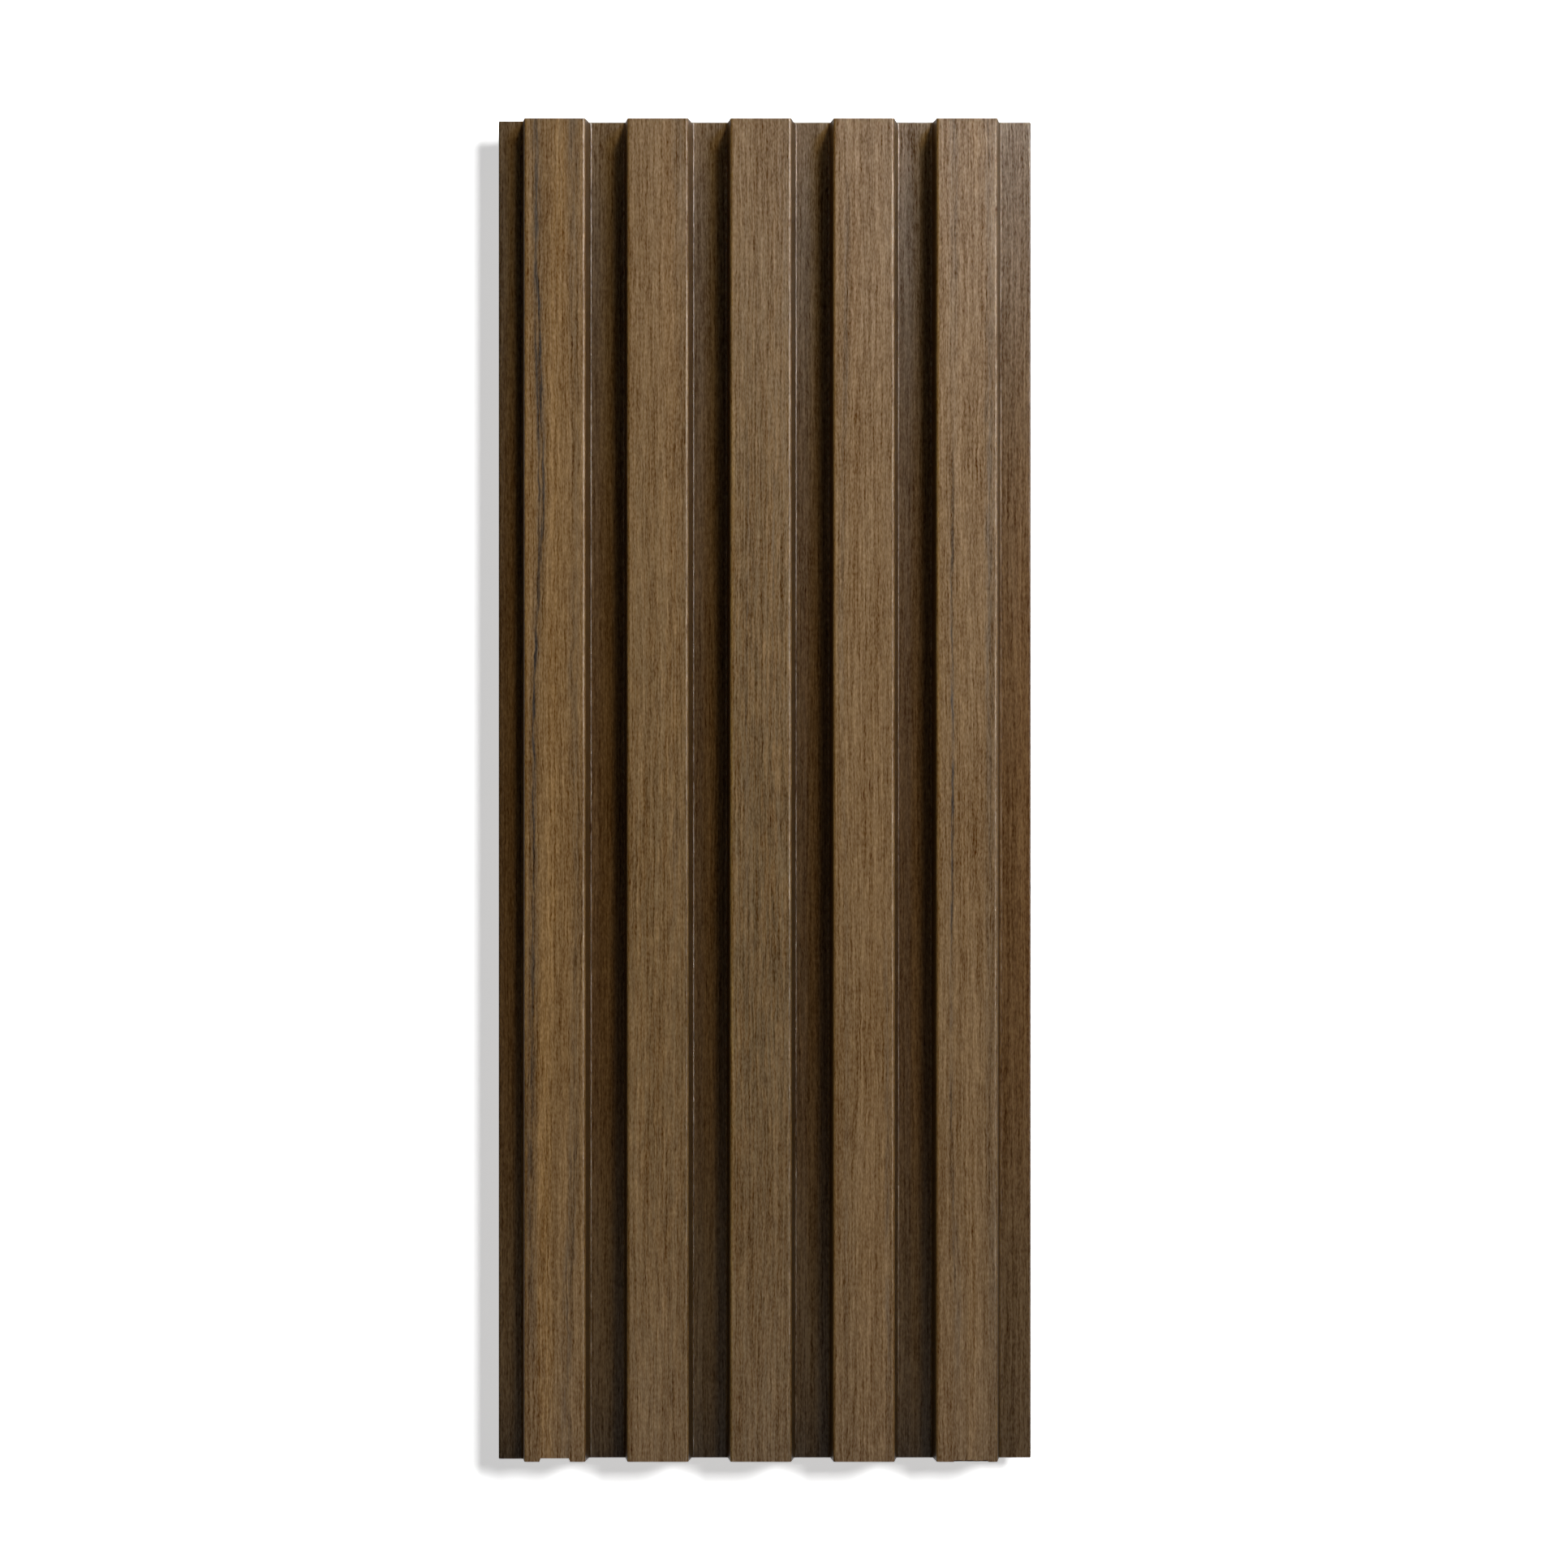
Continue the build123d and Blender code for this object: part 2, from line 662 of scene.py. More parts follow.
    def _glossed(self, spot: Spot, swing: Socket) -> Socket:
        """Gloss of the fibres, less on the flanks and floors and more on the fillets.

        Args:
            spot: The place on the board.
            swing: Swing of the lightness.

        Returns:
            The gloss's socket.
        """
        bench = spot.bench
        level = bench.maths("ADD", bench.maths("MULTIPLY", swing, self.gloss_swing), self.gloss, clamp=True)
        shine = self._by_zone(spot, self.flank_gloss, bench.curve(spot.drop, self.floor_gloss))
        return bench.maths("MULTIPLY", level, bench.maths("ADD", shine, self._on_fillets(spot)))

    def _lay_streak(self, spot: Spot, streak: Streak, under: Socket, x: Socket, fray: Socket) -> Socket:
        """Lays one long streak over the grain.

        Args:
            spot: The place on the board.
            streak: The streak.
            under: Colour below it.
            x: Place across the grain, with its drift.
            fray: Noise that frays the streak.

        Returns:
            The colour with the streak.
        """
        bench, board = spot.bench, spot.board
        left = board.centres[streak.rib] - board.rib_face / 2
        across = bench.curve(spot.drop, tuple((down, share) for down, share, _ in streak.knots))
        strength = bench.curve(spot.drop, tuple((down, level) for down, _, level in streak.knots))
        line = bench.maths("ADD", bench.maths("MULTIPLY", across, board.rib_face), left)
        away = bench.maths("ABSOLUTE", bench.maths("SUBTRACT", x, line))
        share = bench.maths("MULTIPLY", bench.ease(away, streak.width / 2, streak.width / 10), strength)
        frayed = bench.maths("MULTIPLY", share, bench.ease(fray, 0.34, 0.62, 0.25, 1.0))
        return bench.blend(frayed, under, streak.tint)

    def _by_zone(self, spot: Spot, flank: Source, floor: Source) -> Socket:
        """A share that is whole on the rib fronts and falls off on the flanks and floors.

        Args:
            spot: The place on the board.
            flank: Share on the flanks.
            floor: Share on the valley floors, the lip and the flange.

        Returns:
            The share's socket.
        """
        bench, board = spot.bench, spot.board
        edge, foot = board.edge_radius, board.foot_radius
        upper = bench.ease(spot.y, board.front + edge, board.front + 2.5 * edge, 1.0, flank)
        sunk = bench.ease(spot.y, board.valley - 2 * foot, board.valley - foot)
        lip = bench.ease(spot.x, board.lip_side, board.lip_side - foot)
        low = bench.maths("MAXIMUM", sunk, lip)
        lowered = bench.maths("MULTIPLY", bench.maths("SUBTRACT", floor, upper), low)
        return bench.maths("ADD", upper, lowered)

    def _on_fillets(self, spot: Spot) -> Socket:
        """Extra gloss of the fillets beside the valley floors, but not beside the flange.

        Args:
            spot: The place on the board.

        Returns:
            The extra gloss, 0 everywhere else.
        """
        bench, board = spot.bench, spot.board
        foot, last = board.foot_radius, board.centres[-1]
        begun = bench.ease(spot.y, board.valley - 1.5 * foot, board.valley - foot)
        over = bench.ease(spot.y, board.valley - foot / 10, board.valley - foot / 50, 1.0, 0.0)
        inside = bench.ease(spot.x, last, last + foot, self.fillet_gloss, 0.0)
        return bench.maths("MULTIPLY", bench.maths("MULTIPLY", begun, over), inside)


@dataclass(frozen=True)
class BackFinish:
    """Plain extruded back: the same brown, matt, with faint drag lines along the board.

    Attributes:
        body: Main brown.
        line: Drag lines.
    """

    body: Colour
    line: Colour

    def make(self) -> bpy.types.Material:
        """Builds the material.

        Returns:
            The back's material, on Object coordinates.
        """
        material, bench, shader = new_material("plain_back")
        place = bench.add("ShaderNodeTexCoord").outputs["Object"]
        lines = bench.noise(bench.stretch(place, 900, 1.2), detail=3.0, roughness=0.6)
        cloud = bench.noise(bench.stretch(place, 30, 12, 4.0), detail=3.0)
        colour = bench.blend(bench.ease(lines, 0.42, 0.70, 0.0, 0.8), self.body, self.line)
        colour = bench.blend(bench.ease(cloud, 0.4, 0.7, 0.0, 0.25), colour, self.line)
        bench.feed(shader.inputs["Base Color"], colour)
        bench.feed(shader.inputs["Roughness"], bench.ease(lines, 0.3, 0.7, 0.72, 0.58))
        bump = bench.add("ShaderNodeBump", {"Strength": 0.5, "Distance": 0.05 * MM, "Height": lines})
        bench.feed(shader.inputs["Normal"], bump.outputs["Normal"])
        return material


@dataclass(frozen=True)
class SawnFinish:
    """Bare composite where the board is sawn or hollow: fine fibres in a dark binder.

    Attributes:
        body: Main brown of the composite.
        fleck: Pale wood fibres.
        binder: Dark binder.
    """

    body: Colour
    fleck: Colour
    binder: Colour

    def make(self) -> bpy.types.Material:
        """Builds the material.

        Returns:
            The sawn composite's material, on Object coordinates.
        """
        material, bench, shader = new_material("sawn_composite")
        place = bench.add("ShaderNodeTexCoord").outputs["Object"]
        flecks = bench.noise(bench.stretch(place, 1500, 1500), detail=2.0, roughness=0.6)
        saw = bench.noise(bench.stretch(place, 60, 700, 2.0), detail=2.0)
        colour = bench.blend(bench.ease(flecks, 0.55, 0.72, 0.0, 0.7), self.body, self.fleck)
        colour = bench.blend(bench.ease(flecks, 0.45, 0.28, 0.0, 0.8), colour, self.binder)
        bench.feed(shader.inputs["Base Color"], colour)
        bench.feed(shader.inputs["Roughness"], bench.ease(saw, 0.3, 0.7, 0.90, 0.76))
        bump = bench.add("ShaderNodeBump", {"Strength": 0.6, "Distance": 0.08 * MM, "Height": flecks})
        bench.feed(shader.inputs["Normal"], bump.outputs["Normal"])
        return material


@dataclass
class FlutedBoard:
    """The one-piece extruded board: plate, ribs with their chambers, cover lip and fixing flange.

    Attributes:
        low: Lowest corner of the board in the frame.
        high: Highest corner of the board in the frame.
        rib_count: How many ribs.
        rib_pitch: One rib's centre to the next.
        rib_face: Width of a rib's front before its edges are rounded.
        flank_run: How far a flank leans out from the rib's front to its foot.
        plate: Back face to the floor of a valley.
        lip_reach: First rib's front edge to the lip's free edge.
        lip_thickness: Thickness of the cover lip.
        lap_clearance: Room between the lip and the next board's flange.
        rebate_width: Lip's free edge to the side of the rebate behind it.
        edge_radius: Rounding of the rib fronts.
        foot_radius: Fillet at the foot of a flank.
        free_radius: Rounding of the lip's and flange's front corners.
        rebate_radius: Fillet in the rebate.
        arris: Eased edge of the sawn ends.
        front_wall: Wall in front of a chamber.
        flank_wall: Wall beside a chamber.
        back_wall: Wall behind a chamber.
        chamber_radius: Rounding of a chamber's corners.
        notch_width: Width of the sawn notch at the first rib's foot.
        notch_height: Height of that notch.
        notch_lean: How far each of its sides leans in.
        chip_width: Width of the chip at the last rib's foot.
        chip_height: Height of that chip.
        chip_depth: Depth of that chip behind the rib's front.
        chip_offset: The chip's centre, from the rib's.
    """

    WORN: ClassVar[str] = "worn_edge"
    BEYOND: ClassVar[float] = 5 * MM

    low: Vector
    high: Vector
    rib_count: int = 5
    rib_pitch: float = 42.2 * MM
    rib_face: float = 25.1 * MM
    flank_run: float = 1.3 * MM
    plate: float = 6.5 * MM
    lip_reach: float = 10.9 * MM
    lip_thickness: float = 5.0 * MM
    lap_clearance: float = 0.5 * MM
    rebate_width: float = 9.5 * MM
    edge_radius: float = 1.2 * MM
    foot_radius: float = 1.0 * MM
    free_radius: float = 0.8 * MM
    rebate_radius: float = 0.6 * MM
    arris: float = 0.4 * MM
    front_wall: float = 4.5 * MM
    flank_wall: float = 4.5 * MM
    back_wall: float = 5.0 * MM
    chamber_radius: float = 2.0 * MM
    notch_width: float = 12.7 * MM
    notch_height: float = 1.5 * MM
    notch_lean: float = 0.6 * MM
    chip_width: float = 14.0 * MM
    chip_height: float = 0.8 * MM
    chip_depth: float = 3.0 * MM
    chip_offset: float = 1.7 * MM
    piece: bpy.types.Object | None = field(default=None, init=False)

    @property
    def front(self) -> float:
        """Depth of the rib fronts."""
        return self.low.y

    @property
    def valley(self) -> float:
        """Depth of the valley floors."""
        return self.high.y - self.plate

    @property
    def lip_back(self) -> float:
        """Depth of the lip's back."""
        return self.valley - self.lap_clearance

    @property
    def lip_front(self) -> float:
        """Depth of the lip's front."""
        return self.lip_back - self.lip_thickness

    @property
    def rebate_side(self) -> float:
        """Place of the rebate's side."""
        return self.low.x + self.rebate_width

    @property
    def centres(self) -> list[float]:
        """Places of the ribs' centre lines, from left to right."""
        first = self.low.x + self.lip_reach + self.rib_face / 2
        return [first + i * self.rib_pitch for i in range(self.rib_count)]

    @property
    def lip_side(self) -> float:
        """Place where the first rib's flank meets the lip."""
        return self.centres[0] - self.half_rib(self.lip_front)

    @property
    def flange_side(self) -> float:
        """Place where the last rib's flank meets the flange."""
        return self.centres[-1] + self.half_rib(self.valley)

    def half_rib(self, y: float) -> float:
        """Half the width of a rib at a depth, along its leaning flanks."""
        return self.rib_face / 2 + self.flank_run * (y - self.front) / (self.valley - self.front)

    def build(self) -> bpy.types.Object:
        """Models the board.

        Returns:
            The finished mesh object.
        """
        self.piece = new_block("fluted_board", (self.rebate_side, self.valley, self.low.z), tuple(self.high))
        with Workbench(self.piece) as bench:
            self._raise_ribs(bench)
            self._pull_lip(bench)
            bench.merge_flat_faces()
            self._round_long_edges(bench)
            self._ease_ends(bench)
        carve(self.piece, self._chamber_cutters())
        carve(self.piece, self._notch_cutter())
        carve(self.piece, self._chip_cutter())
        self._smooth()
        return self.piece

    def dress(self, finishes: dict[Skin, bpy.types.Material]) -> None:
        """Gives each face its finish.

        Args:
            finishes: Material of each finish.
        """
        mesh = self.piece.data
        mesh.materials.clear()
        for skin in Skin:
            mesh.materials.append(finishes[skin])
        for face in mesh.polygons:
            face.material_index = self._skin_of(face.center, face.normal).value
        worn = mesh.attributes.new(self.WORN, "FLOAT", "FACE")
        for face, mark in zip(mesh.polygons, worn.data):
            mark.value = 1.0 if self._is_rounded(face.normal) else 0.0

    def _raise_ribs(self, bench: Workbench) -> None:
        """Cuts the plate at the rib feet, pulls the ribs out of it and leans their flanks."""
        foot = self.half_rib(self.valley)
        for centre in self.centres:
            bench.cut_across(centre + foot)
        for centre in self.centres[1:]:
            bench.cut_across(centre - foot)
        rise = self.valley - self.front

        def on_rib(x: float, centres: Iterable[float]) -> bool:
            """Whether x lies on one of these ribs."""
            return any(abs(x - centre) < foot for centre in centres)

        bench.pick(Pick.FACES, lambda face: face.normal.y < -0.9
                   and on_rib(face.calc_center_median().x, self.centres[1:]))
        bench.pull((0, -rise, 0))
        bench.shift_corners(lambda at: at.y < self.front + CLOSE
                            and any(abs(at.x - centre + foot) < CLOSE for centre in self.centres[1:]),
                            (self.flank_run, 0, 0))
        bench.shift_corners(lambda at: at.y < self.front + CLOSE
                            and any(abs(at.x - centre - foot) < CLOSE for centre in self.centres[1:]),
                            (-self.flank_run, 0, 0))

        first = self.centres[0]
        bench.pick(Pick.FACES, lambda face: face.normal.y < -0.9
                   and face.calc_center_median().x < first + foot
                   and abs(face.calc_center_median().y - self.valley) < CLOSE)
        levels = (self.valley, self.lip_back, self.lip_front, self.front)
        for start, end in zip(levels, levels[1:]):
            bench.pull((0, end - start, 0))
        for y in (self.lip_back, self.lip_front, self.front):
            bench.shift_corners(lambda at, y=y: abs(at.y - y) < CLOSE and abs(at.x - first - foot) < CLOSE,
                                (self.half_rib(y) - foot, 0, 0))

    def _pull_lip(self, bench: Workbench) -> None:
        """Pulls the cover lip out of the first rib's side, then leans the flank above it."""
        first = self.centres[0]
        bench.pick(Pick.FACES, lambda face: face.normal.x < -0.9
                   and self.lip_front < face.calc_center_median().y < self.lip_back)
        bench.pull((-self.rebate_width, 0, 0))
        for y in (self.lip_front, self.front):
            lean = first - self.half_rib(y) - self.rebate_side
            bench.shift_corners(lambda at, y=y: abs(at.y - y) < CLOSE
                                and abs(at.x - self.rebate_side) < CLOSE,
                                (lean, 0, 0))

    def _round_long_edges(self, bench: Workbench) -> None:
        """Rounds the edges that run along the board, each kind by its own radius."""
        turn = math.pi / 2 - math.atan(self.flank_run / (self.valley - self.front))
        leaning = math.tan(turn / 2)
        sides = [(centre, side) for centre in self.centres for side in (-1, 1)]
        fronts = [(centre + side * self.half_rib(self.front), self.front) for centre, side in sides]
        feet = [(centre + side * self.half_rib(self.valley), self.valley) for centre, side in sides]
        feet[0] = (self.lip_side, self.lip_front)
        free = [(self.high.x, self.valley), (self.low.x, self.lip_front)]
        rebate = [(self.rebate_side, self.lip_back)]

        def runs_at(places: list[tuple[float, float]]) -> Callable[[Any], bool]:
            """Test for long edges at one of these places in the section."""
            def test(edge: Any) -> bool:
                """Whether the edge runs along the board at one of the places."""
                a, b = (corner.co for corner in edge.verts)
                if abs(a.z - b.z) < self.high.z:
                    return False
                return any(abs(a.x - x) < CLOSE and abs(a.y - y) < CLOSE for x, y in places)
            return test

        bench.round_edges(runs_at(fronts), self.edge_radius * leaning, 6)
        bench.round_edges(runs_at(feet), self.foot_radius * leaning, 5)
        bench.round_edges(runs_at(free), self.free_radius, 4)
        bench.round_edges(runs_at(rebate), self.rebate_radius, 3)

    def _ease_ends(self, bench: Workbench) -> None:
        """Eases the outline of both sawn ends."""
        def on_end(edge: Any) -> bool:
            """Whether the edge lies in one of the end planes."""
            heights = [corner.co.z for corner in edge.verts]
            return any(all(abs(z - end) < CLOSE for z in heights) for end in (self.low.z, self.high.z))

        bench.round_edges(on_end, self.arris, 2)

    def _chamber_cutters(self) -> bpy.types.Object:
        """One cutter for all the chambers: a leaning block with rounded corners, repeated at the rib pitch.

        Returns:
            The cutter, longer than the board.
        """
        inner_front = self.front + self.front_wall
        inner_back = self.high.y - self.back_wall
        half_back = self.half_rib(inner_back) - self.flank_wall
        half_front = self.half_rib(inner_front) - self.flank_wall
        first = self.centres[0]
        cutter = new_block("chamber", (first - half_back, inner_front, self.low.z - self.BEYOND),
                           (first + half_back, inner_back, self.high.z + self.BEYOND))
        with Workbench(cutter) as bench:
            bench.pick(Pick.CORNERS, lambda corner: abs(corner.co.y - inner_front) < CLOSE)
            bpy.ops.transform.resize(value=(half_front / half_back, 1, 1),
                                     center_override=(first, inner_front, 0))
            bench.round_edges(lambda edge: abs(edge.verts[0].co.z - edge.verts[1].co.z) > self.high.z,
                              self.chamber_radius, 5)
        bpy.ops.object.modifier_add(type="ARRAY")
        row = cutter.modifiers[-1]
        row.count = self.rib_count
        row.use_relative_offset = False
        row.use_constant_offset = True
        row.constant_offset_displace = (self.rib_pitch, 0, 0)
        bpy.ops.object.modifier_apply(modifier=row.name)
        return cutter

    def _notch_cutter(self) -> bpy.types.Object:
        """Cutter of the notch at the first rib's foot, from the front into the chamber.

        Returns:
            The cutter.
        """
        centre, half = self.centres[0], self.notch_width / 2
        top = self.low.z + self.notch_height
        cut_back = self.front + self.front_wall + self.chamber_radius
        cutter = new_block("notch", (centre - half, self.front - self.BEYOND, self.low.z - self.BEYOND),
                           (centre + half, cut_back, top))
        with Workbench(cutter) as bench:
            bench.pick(Pick.FACES, lambda face: face.normal.z < -0.9)
            bpy.ops.transform.translate(value=(0, 0, self.BEYOND))
            bench.pull((0, 0, -self.BEYOND))
            bench.pick(Pick.CORNERS, lambda corner: abs(corner.co.z - top) < CLOSE)
            narrowing = 1 - 2 * self.notch_lean / self.notch_width
            bpy.ops.transform.resize(value=(narrowing, 1, 1), center_override=(centre, 0, top))
        return cutter

    def _chip_cutter(self) -> bpy.types.Object:
        """Cutter of the ragged chip at the last rib's foot.

        Returns:
            The cutter.
        """
        centre, half = self.centres[-1] + self.chip_offset, self.chip_width / 2
        top = self.low.z + self.chip_height
        cutter = new_block("chip", (centre - half, self.front - self.BEYOND, self.low.z - self.BEYOND),
                           (centre + half, self.front + self.chip_depth, top))
        with Workbench(cutter) as bench:
            bench.pick(Pick.EDGES,
                       lambda edge: abs(edge.verts[0].co.x - edge.verts[1].co.x) > self.chip_depth)
            bpy.ops.mesh.subdivide(number_cuts=11)
            bench.pick(Pick.CORNERS, lambda corner: abs(corner.co.z - top) < CLOSE)
            bpy.ops.transform.vertex_random(offset=0.35 * MM, uniform=1.0, normal=0.0, seed=4)
        return cutter

    def _smooth(self) -> None:
        """Shades the roundings smooth and keeps the flats flat."""
        select_only(self.piece)
        bpy.ops.object.shade_smooth_by_angle(angle=math.radians(32))
        bpy.ops.object.modifier_add(type="WEIGHTED_NORMAL")
        weights = self.piece.modifiers[-1]
        weights.keep_sharp = True
        weights.weight = 100
        bpy.ops.object.modifier_apply(modifier=weights.name)

    def _is_rounded(self, normal: Vector) -> bool:
        """Whether a face belongs to a rounded edge or a fillet along the board."""
        return 0.12 < abs(normal.x) < 0.97 and abs(normal.z) < 0.1

    def _skin_of(self, at: Vector, normal: Vector) -> Skin:
        """Finish of a face, by its place and normal.

        Args:
            at: Middle of the face.
            normal: Normal of the face.

        Returns:
            Which finish the face has.
        """
        end_reach = 0.05 * MM
        on_end = min(at.z - self.low.z, self.high.z - at.z) < end_reach
        half = self.half_rib(at.y) - self.flank_wall / 2
        in_rib = any(abs(at.x - centre) < half for centre in self.centres)
        in_depth = self.front + self.front_wall / 4 < at.y < self.high.y - self.back_wall / 2
        near_foot = at.z < self.low.z + self.notch_height + end_reach
        if on_end or (in_rib and in_depth) or (near_foot and abs(normal.z) > 0.5 and in_rib):
            return Skin.SAWN
        if normal.y > 0.5 or (at.x < self.rebate_side + CLOSE and at.y > self.lip_back):
            return Skin.BACK
        return Skin.GRAIN


@dataclass(frozen=True)
class Lamp:
    """One oblong area lamp.

    Attributes:
        name: Its name.
        at: Its place.
        size: Its width and height.
        power: Its power in watts.
        reach: What it adds to a surface.
        aim: The point it faces.
        beam: Full angle of its beam, in degrees.
    """

    name: str
    at: Point
    size: tuple[float, float]
    power: float
    reach: Reach = Reach.ALL
    aim: Point = (0.0, 0.0, 0.0)
    beam: float = 180.0

    def hang(self, receivers: bpy.types.Collection) -> None:
        """Puts the lamp in the scene.

        Args:
            receivers: What the lamp lights.
        """
        data = bpy.data.lights.new(self.name, "AREA")
        data.shape = "RECTANGLE"
        data.size, data.size_y = self.size
        data.energy = self.power
        data.spread = math.radians(self.beam)
        lamp = bpy.data.objects.new(self.name, data)
        bpy.context.scene.collection.objects.link(lamp)
        lamp.location = self.at
        lamp.rotation_euler = (Vector(self.aim) - Vector(self.at)).to_track_quat("-Z", "Y").to_euler()
        lamp.visible_diffuse = self.reach is not Reach.GLOSS
        lamp.visible_glossy = self.reach is not Reach.MATT
        lamp.light_linking.receiver_collection = receivers


@dataclass
class Studio:
    """White wall and floor, the lamps and the surrounding light.

    Attributes:
        low: Lowest corner of the board.
        high: Highest corner of the board.
        wall_gap: Back face to the wall behind it.
        floor_gap: The board's foot to the floor.
        reach: Half the size of wall and floor.
        paper_glow: Light that the camera alone sees on wall and floor.
        front_light: Surrounding light from the front.
        back_light: Surrounding light from behind.
        board_lamps: Lamps on the board.
        stage_lamps: Lamps on the wall and floor.
    """

    low: Vector
    high: Vector
    wall_gap: float = 22 * MM
    floor_gap: float = 60 * MM
    reach: float = 4.0
    paper_glow: float = 0.56
    front_light: float = 0.006
    back_light: float = 0.85
    board_lamps: tuple[Lamp, ...] = (
        Lamp("key", (1.20, -3.50, 2.60), (1.14, 0.31), 1.90, Reach.MATT, aim=(0.03, 0.0, 0.113), beam=12.1),
        Lamp("overhead", (0.15, -0.30, 0.80), (0.80, 0.15), 1.9, Reach.MATT),
        Lamp("side_strip", (0.80, -1.15, 0.70), (0.08, 0.30), 2.6, Reach.MATT),
        Lamp("sheen_card", (0.46, -1.00, 0.66), (0.18, 0.18), 1.95, Reach.GLOSS,
             aim=(0.10, 0.0, 0.30), beam=60.0),
        Lamp("side_panel", (1.27, -0.68, 0.38), (0.45, 0.50), 8.0, Reach.GLOSS),
        Lamp("fillet_strip", (0.70, -1.20, 0.22), (0.06, 1.00), 11.0, Reach.GLOSS),
        Lamp("low_card", (0.0, -1.00, -0.85), (0.80, 0.20), 4.6, Reach.GLOSS),
        Lamp("bounce", (0.0, -0.22, -0.29), (0.90, 0.36), 0.85, Reach.MATT, aim=(0.0, -0.22, 1.0)),
    )
    stage_lamps: tuple[Lamp, ...] = (
        Lamp("stage_lamp", (1.15, -3.2, 0.69), (0.85, 0.85), 180.0),
    )

    def build(self, piece: bpy.types.Object) -> None:
        """Makes the stage, the lamps and the world.

        Args:
            piece: The board.
        """
        paper = self._paper()
        wall_y = self.high.y + self.wall_gap
        floor_z = self.low.z - self.floor_gap
        wall = self._sheet("wall", (0, wall_y, floor_z + self.reach), (math.pi / 2, 0, 0), paper)
        floor = self._sheet("floor", (0, 0, floor_z), (0, 0, 0), paper)
        board_only = self._group("board_lit", [piece])
        stage_only = self._group("stage_lit", [wall, floor])
        for lamp in self.board_lamps:
            lamp.hang(board_only)
        for lamp in self.stage_lamps:
            lamp.hang(stage_only)
        self._world()

    def _group(self, name: str, members: list[bpy.types.Object]) -> bpy.types.Collection:
        """A collection of objects that some lamps light.

        Args:
            name: Name of the collection.
            members: Its objects.

        Returns:
            The new collection.
        """
        group = bpy.data.collections.new(name)
        for member in members:
            group.objects.link(member)
        return group

    def _sheet(self, name: str, at: Point, turn: Point, finish: bpy.types.Material) -> bpy.types.Object:
        """A large plane of the stage, which throws no light or shadow on the board.

        Args:
            name: Name of the plane.
            at: Its middle.
            turn: Its rotation.
            finish: Its material.

        Returns:
            The new object.
        """
        bpy.ops.object.select_all(action="DESELECT")
        bpy.ops.mesh.primitive_plane_add(size=2 * self.reach, location=at, rotation=turn)
        sheet = bpy.context.active_object
        sheet.name = name
        sheet.data.materials.append(finish)
        sheet.visible_diffuse = False
        sheet.visible_glossy = False
        sheet.visible_shadow = False
        return sheet

    def _paper(self) -> bpy.types.Material:
        """White paper that keeps the board's shadow, and is clear from behind.

        Returns:
            The stage's material.
        """
        material = bpy.data.materials.new("white_paper")
        bench = clear_bench(material)
        paper = bench.add("ShaderNodeBsdfDiffuse", {"Color": (0.9, 0.9, 0.9, 1)})
        glow = bench.add("ShaderNodeEmission", {"Color": (1, 1, 1, 1)})
        seen = bench.add("ShaderNodeLightPath").outputs["Is Camera Ray"]
        bench.feed(glow.inputs["Strength"], bench.maths("MULTIPLY", seen, self.paper_glow))
        both = bench.add("ShaderNodeAddShader", {0: paper.outputs[0], 1: glow.outputs[0]})
        behind = bench.add("ShaderNodeNewGeometry").outputs["Backfacing"]
        clear = bench.add("ShaderNodeBsdfTransparent")
        sided = bench.add("ShaderNodeMixShader", {0: behind, 1: both.outputs[0], 2: clear.outputs[0]})
        bench.add("ShaderNodeOutputMaterial", {"Surface": sided.outputs[0]})
        return material

    def _world(self) -> None:
        """Surrounding light: faint from the front, fuller from behind, and white to the camera."""
        world = bpy.data.worlds.new("surround")
        bpy.context.scene.world = world
        bench = clear_bench(world)
        way = bench.add("ShaderNodeTexCoord").outputs["Generated"]
        depth = bench.add("ShaderNodeSeparateXYZ", {0: way}).outputs["Y"]
        level = bench.ease(depth, 0.1, 0.8, self.front_light, self.back_light)
        seen = bench.add("ShaderNodeLightPath").outputs["Is Camera Ray"]
        strength = bench.add("ShaderNodeMix", {0: seen, 2: level, 3: 1.0}, data_type="FLOAT").outputs[0]
        glow = bench.add("ShaderNodeBackground", {"Color": (1, 1, 1, 1), "Strength": strength})
        bench.add("ShaderNodeOutputWorld", {"Surface": glow.outputs[0]})


@dataclass
class PhotoCamera:
    """Long lens square to the board, framed as in the photograph.

    Attributes:
        frame_height: Height of the picture at the valley floors.
        distance: Lens to the valley floors.
        aside: How far the lens sits to the right of the board's middle.
        above: How far the lens sits above the board's middle.
        sensor: Long side of the sensor, in millimetres.
    """

    frame_height: float = 645.9 * MM
    distance: float = 3.0
    aside: float = 4.96 * MM
    above: float = 2.5 * MM
    sensor: float = 36.0

    def build(self, valley: float) -> None:
        """Makes the scene's camera.

        Args:
            valley: Depth of the valley floors.
        """
        data = bpy.data.cameras.new("photo_camera")
        data.sensor_width = self.sensor
        data.lens = self.sensor * self.distance / self.frame_height
        camera = bpy.data.objects.new("photo_camera", data)
        bpy.context.scene.collection.objects.link(camera)
        camera.location = (self.aside, valley - self.distance, self.above)
        camera.rotation_euler = (math.pi / 2, 0, 0)
        bpy.context.scene.camera = camera


